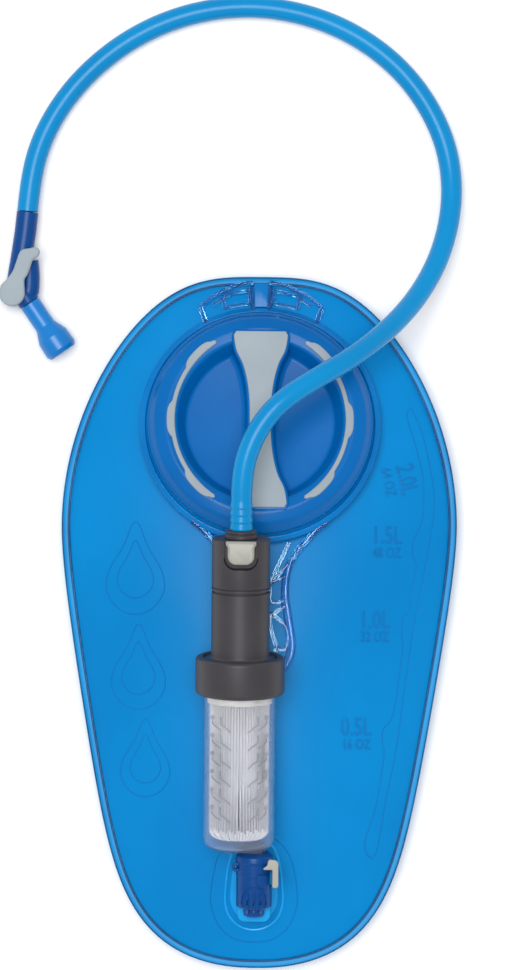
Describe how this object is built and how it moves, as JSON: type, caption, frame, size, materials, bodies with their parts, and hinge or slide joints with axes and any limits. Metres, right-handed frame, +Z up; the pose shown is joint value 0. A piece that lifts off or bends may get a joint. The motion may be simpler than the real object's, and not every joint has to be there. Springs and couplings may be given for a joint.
{
  "type": "hydration bladder",
  "caption": "Flat drinking-water bag with a large screw cap, carrying handle, in-line filter, push-button couplings and a drinking tube with shut-off lever and bite valve.",
  "frame": {"origin": "middle of the bag at the surface it lies on, bag lying on its back", "axes": "+Y along the bag towards the fill cap, +Z up out of the front face, +X to the right with the cap at the top"},
  "size_m": [0.2411, 0.5057, 0.0976],
  "materials": {
    "film_blue": "translucent tinted film",
    "clear_blue": "clear tinted moulding",
    "cap_blue": "satin translucent moulding",
    "grip_grey": "soft matt overmould",
    "seal_rubber": "matt",
    "frosted_clear": "frosted clear",
    "fibre_white": "matt fibre",
    "potting_resin": "cast resin",
    "black_plastic": "satin",
    "button_grey": "satin",
    "spring_steel": "drawn wire",
    "navy_plastic": "satin",
    "hose_blue": "glossy translucent tube",
    "silicone_blue": "soft translucent silicone"
  },
  "bodies": {
    "root": {"bag_front_film": "film_blue", "bag_back_film": "film_blue", "perimeter_weld": "film_blue", "fill_port": "clear_blue", "hang_loops": "clear_blue", "port_handle": "clear_blue", "exit_port_base": "clear_blue", "quicklink_body": "navy_plastic", "exit_button_spring": "spring_steel", "exit_poppet_spring": "spring_steel"},
    "cap_seal": {"cap_seal": "seal_rubber"},
    "cap": {"cap_body": "cap_blue", "cap_grip_bar": "grip_grey", "cap_grip_pads": "grip_grey"},
    "exit_poppet": {"exit_poppet": "navy_plastic"},
    "exit_button": {"exit_release_button": "button_grey"},
    "filter": {"filter_housing": "frosted_clear", "nipple_oring": "seal_rubber", "fibre_bundle": "fibre_white", "potting_disc": "potting_resin", "filter_collar": "black_plastic", "filter_neck": "black_plastic", "neck_band": "black_plastic", "coupling_socket": "black_plastic", "coupling_button_spring": "spring_steel", "coupling_poppet_spring": "spring_steel"},
    "coupling_button": {"coupling_release_button": "button_grey"},
    "coupling_poppet": {"coupling_poppet": "navy_plastic"},
    "hose": {"hose_plug": "black_plastic", "plug_oring": "seal_rubber", "plug_collar": "black_plastic", "hose_cuff": "hose_blue", "hose_tube": "hose_blue", "valve_body": "navy_plastic"},
    "shutoff": {"shutoff_lever": "grip_grey", "valve_barrel": "navy_plastic"},
    "bite": {"bite_valve": "silicone_blue"}
  },
  "joints": [
    {"name": "cap_rise", "type": "slide", "parent": "root", "child": "cap_seal", "axis": [0, 0.2079, 0.9781], "range_m": [0, 0.0032]},
    {"name": "cap_turn", "type": "hinge", "parent": "cap_seal", "child": "cap", "pos_m": [0, 0.103, 0.0373], "axis": [0, 0.2079, 0.9781], "range_deg": [0, 90]},
    {"name": "exit_poppet_travel", "type": "slide", "parent": "root", "child": "exit_poppet", "axis": [0, -0.9877, -0.1564], "range_m": [0, 0.002], "stiffness_N_per_m": 100, "springref_m": -0.002, "deforming": ["exit_poppet_spring"]},
    {"name": "exit_button_press", "type": "slide", "parent": "root", "child": "exit_button", "axis": [-1, 0, 0], "range_m": [0, 0.0015], "stiffness_N_per_m": 300, "springref_m": -0.002, "deforming": ["exit_button_spring"]},
    {"name": "filter_release", "type": "slide", "parent": "root", "child": "filter", "axis": [0, 0.9877, 0.1564], "range_m": [0, 0.016]},
    {"name": "coupling_button_press", "type": "slide", "parent": "filter", "child": "coupling_button", "axis": [0, 0.1564, -0.9877], "range_m": [0, 0.002], "stiffness_N_per_m": 300, "springref_m": -0.002, "deforming": ["coupling_button_spring"]},
    {"name": "coupling_poppet_travel", "type": "slide", "parent": "filter", "child": "coupling_poppet", "axis": [0, -0.9877, -0.1564], "range_m": [0, 0.002], "stiffness_N_per_m": 100, "springref_m": -0.002, "deforming": ["coupling_poppet_spring"]},
    {"name": "hose_release", "type": "slide", "parent": "filter", "child": "hose", "axis": [0, 0.9877, 0.1564], "range_m": [0, 0.017]},
    {"name": "shutoff_turn", "type": "hinge", "parent": "hose", "child": "shutoff", "pos_m": [-0.1297, 0.17, 0.0085], "axis": [0, 0, 1], "range_deg": [0, 90]},
    {"name": "bite_valve_pull", "type": "slide", "parent": "hose", "child": "bite", "axis": [0.5695, -0.822, 0], "range_m": [0, 0.008]}
  ],
  "couplings": [
    {"joint": "cap_turn", "follows": "cap_rise", "rad_per_m": 490.8}
  ]
}
